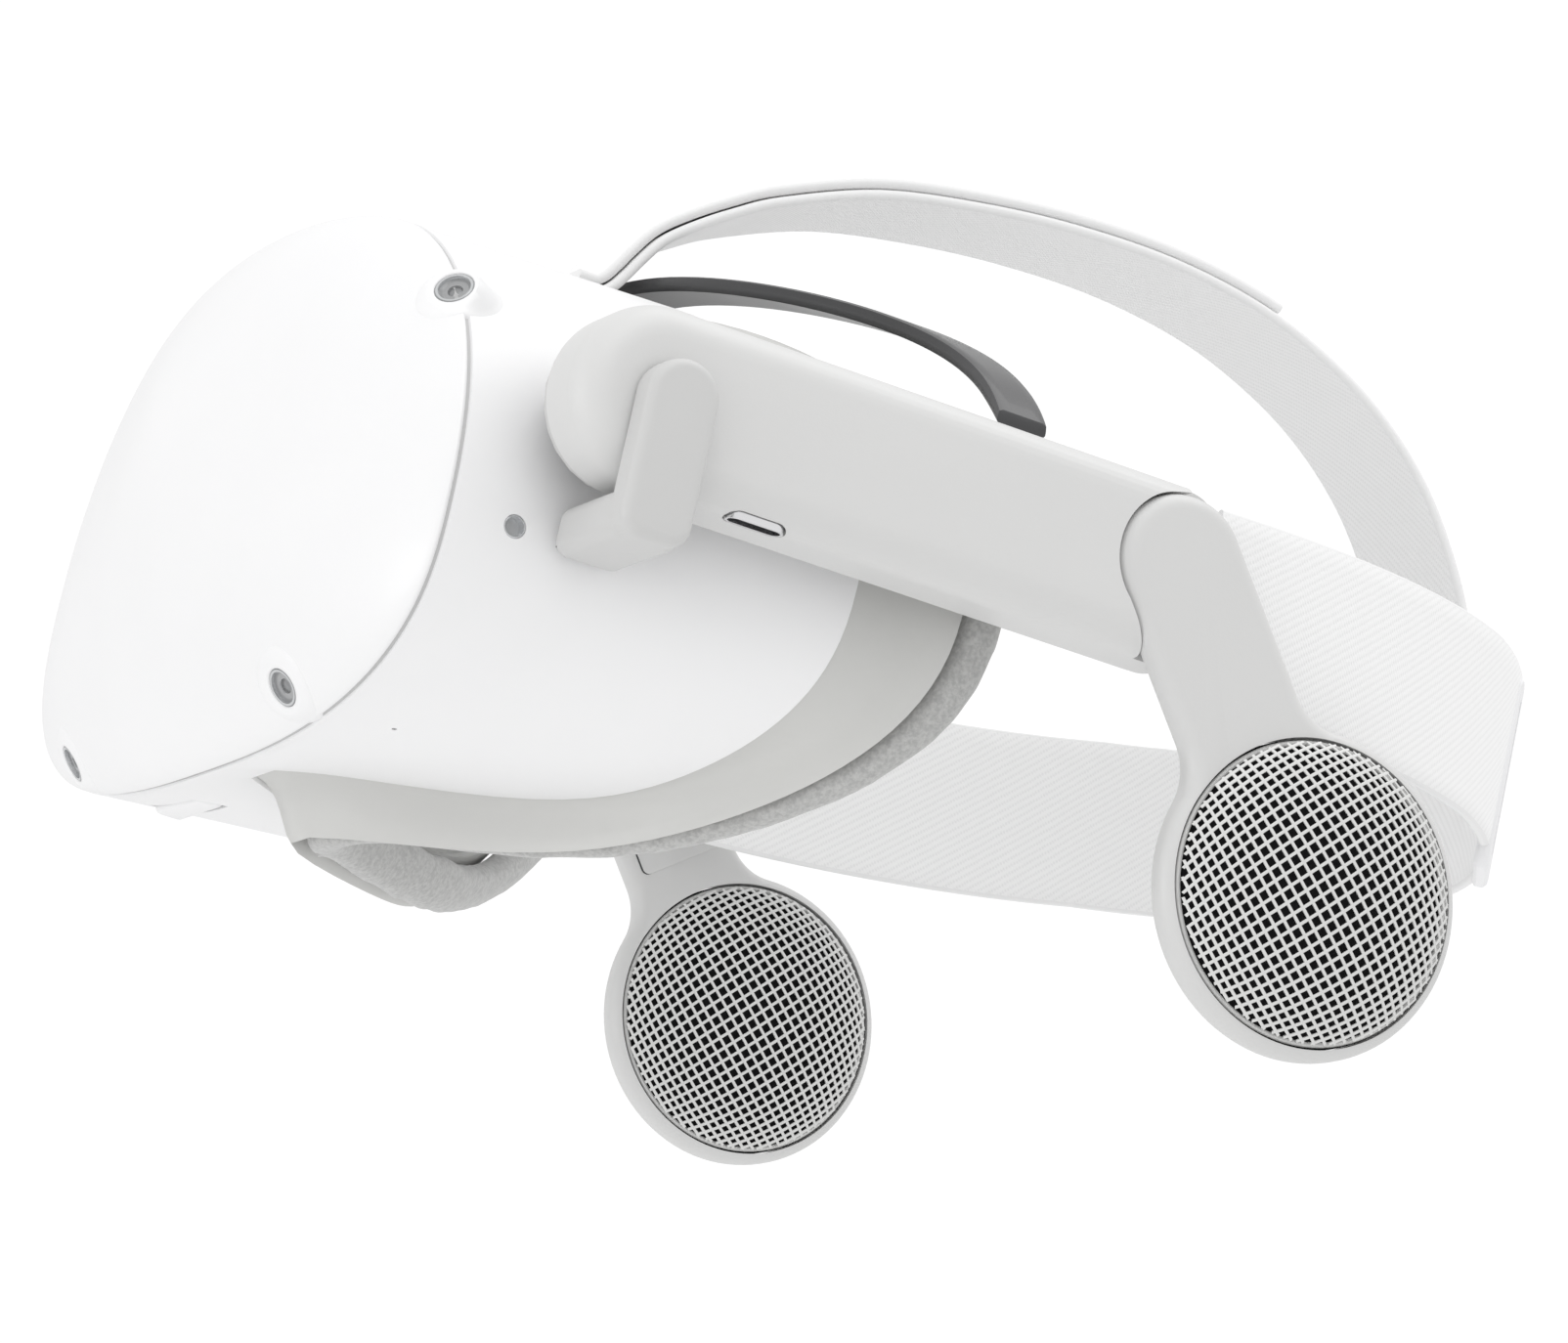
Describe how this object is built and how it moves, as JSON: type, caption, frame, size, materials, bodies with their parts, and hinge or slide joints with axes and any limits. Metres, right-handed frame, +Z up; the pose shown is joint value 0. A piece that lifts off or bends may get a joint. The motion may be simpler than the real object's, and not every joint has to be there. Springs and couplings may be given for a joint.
{
  "type": "vr headset",
  "caption": "Standalone virtual reality visor on an elastic head strap, with a clip-on pair of off-ear speakers that flip up on their arms.",
  "frame": {"origin": "the wearer's eye point, midway between the eyes on the plane of symmetry", "axes": "+Z up, the visor faces -Y, +Y towards the back of the head, the wearer's left is +X"},
  "size_m": [0.2068, 0.2225, 0.1408],
  "materials": {
    "aluminium": "machined",
    "audio_grey": "fine satin light grey",
    "band_dark": "satin dark grey",
    "battery_foil": "dull foil",
    "camera_barrel": "dark gloss with glass",
    "circuit_board": "solder mask green",
    "dark_plastic": "matt black",
    "display_glass": "dark glass",
    "driver_black": "matt black",
    "faceplate_white": "smooth satin white",
    "foam_grey": "knitted cover over foam",
    "grille_mesh": "off-white woven wire",
    "lens_clear": "polished optical plastic",
    "plug_grey": "fine satin light grey",
    "rear_shell_white": "satin white",
    "shroud_grey": "soft satin mid grey",
    "socket_metal": "bright plated",
    "steel": "drawn steel",
    "trim_white": "satin white",
    "webbing_white": "woven elastic"
  },
  "bodies": {
    "visor": {"faceplate": "faceplate_white", "rear_shell": "rear_shell_white", "tracking_camera_upper_left": "camera_barrel", "tracking_camera_upper_right": "camera_barrel", "tracking_camera_lower_left": "camera_barrel", "tracking_camera_lower_right": "camera_barrel", "inner_frame": "dark_plastic", "display_panel": "display_glass", "mainboard": "circuit_board", "heat_sink": "aluminium", "cooling_fan": "dark_plastic", "battery": "battery_foil", "proximity_sensor": "dark_plastic", "lens_rail": "steel", "audio_jack": "dark_plastic", "pivot_spigot_left": "dark_plastic", "pivot_spigot_right": "dark_plastic", "plug_housing": "plug_grey", "usb_plug": "socket_metal", "face_shroud": "shroud_grey", "face_foam": "foam_grey"},
    "left_lens_carriage": {"lens_barrel_left": "dark_plastic", "lens_left": "lens_clear"},
    "right_lens_carriage": {"lens_barrel_right": "dark_plastic", "lens_right": "lens_clear"},
    "power_button": {"power_button": "trim_white"},
    "volume_rocker": {"volume_rocker": "trim_white"},
    "strap_frame": {"arm_liner_left": "audio_grey", "strap_arm_left": "trim_white", "arm_cover_left": "audio_grey", "speaker_pin_left": "steel", "side_strap_left": "webbing_white", "strap_slider_left": "trim_white", "arm_liner_right": "audio_grey", "strap_arm_right": "trim_white", "arm_cover_right": "audio_grey", "speaker_pin_right": "steel", "side_strap_right": "webbing_white", "strap_slider_right": "trim_white", "charging_socket": "socket_metal", "audio_board": "circuit_board", "bridge_band": "band_dark", "rear_strap": "webbing_white", "top_strap": "webbing_white", "top_strap_tab": "webbing_white"},
    "left_speaker": {"speaker_frame_left": "audio_grey", "speaker_driver_left": "driver_black", "outer_grille_left": "grille_mesh", "inner_grille_left": "grille_mesh"},
    "right_speaker": {"speaker_frame_right": "audio_grey", "speaker_driver_right": "driver_black", "outer_grille_right": "grille_mesh", "inner_grille_right": "grille_mesh"}
  },
  "joints": [
    {"name": "arm_tilt", "type": "hinge", "parent": "visor", "child": "strap_frame", "pos_m": [0, -0.034, 0.0089], "axis": [1, 0, 0], "range_deg": [-3, 12], "deforming": ["top_strap", "top_strap_tab"]},
    {"name": "left_speaker_flip", "type": "hinge", "parent": "strap_frame", "child": "left_speaker", "pos_m": [0, 0.0495, 0.01], "axis": [1, 0, 0], "range_deg": [0, 70]},
    {"name": "right_speaker_flip", "type": "hinge", "parent": "strap_frame", "child": "right_speaker", "pos_m": [0, 0.0495, 0.01], "axis": [1, 0, 0], "range_deg": [0, 70]},
    {"name": "left_lens_slide", "type": "slide", "parent": "visor", "child": "left_lens_carriage", "axis": [1, 0, 0], "range_m": [-0.0025, 0.0025]},
    {"name": "right_lens_slide", "type": "slide", "parent": "visor", "child": "right_lens_carriage", "axis": [1, 0, 0], "range_m": [-0.0025, 0.0025]},
    {"name": "power_press", "type": "slide", "parent": "visor", "child": "power_button", "axis": [1, 0, 0], "range_m": [0, 0.0006], "stiffness_N_per_m": 900},
    {"name": "volume_rock", "type": "hinge", "parent": "visor", "child": "volume_rocker", "pos_m": [-0.032, -0.0445, -0.0397], "axis": [0, 1, 0], "range_deg": [-3, 3], "stiffness_Nm_per_rad": 0.5}
  ],
  "couplings": [
    {"joint": "right_lens_slide", "follows": "left_lens_slide", "ratio": -1}
  ]
}
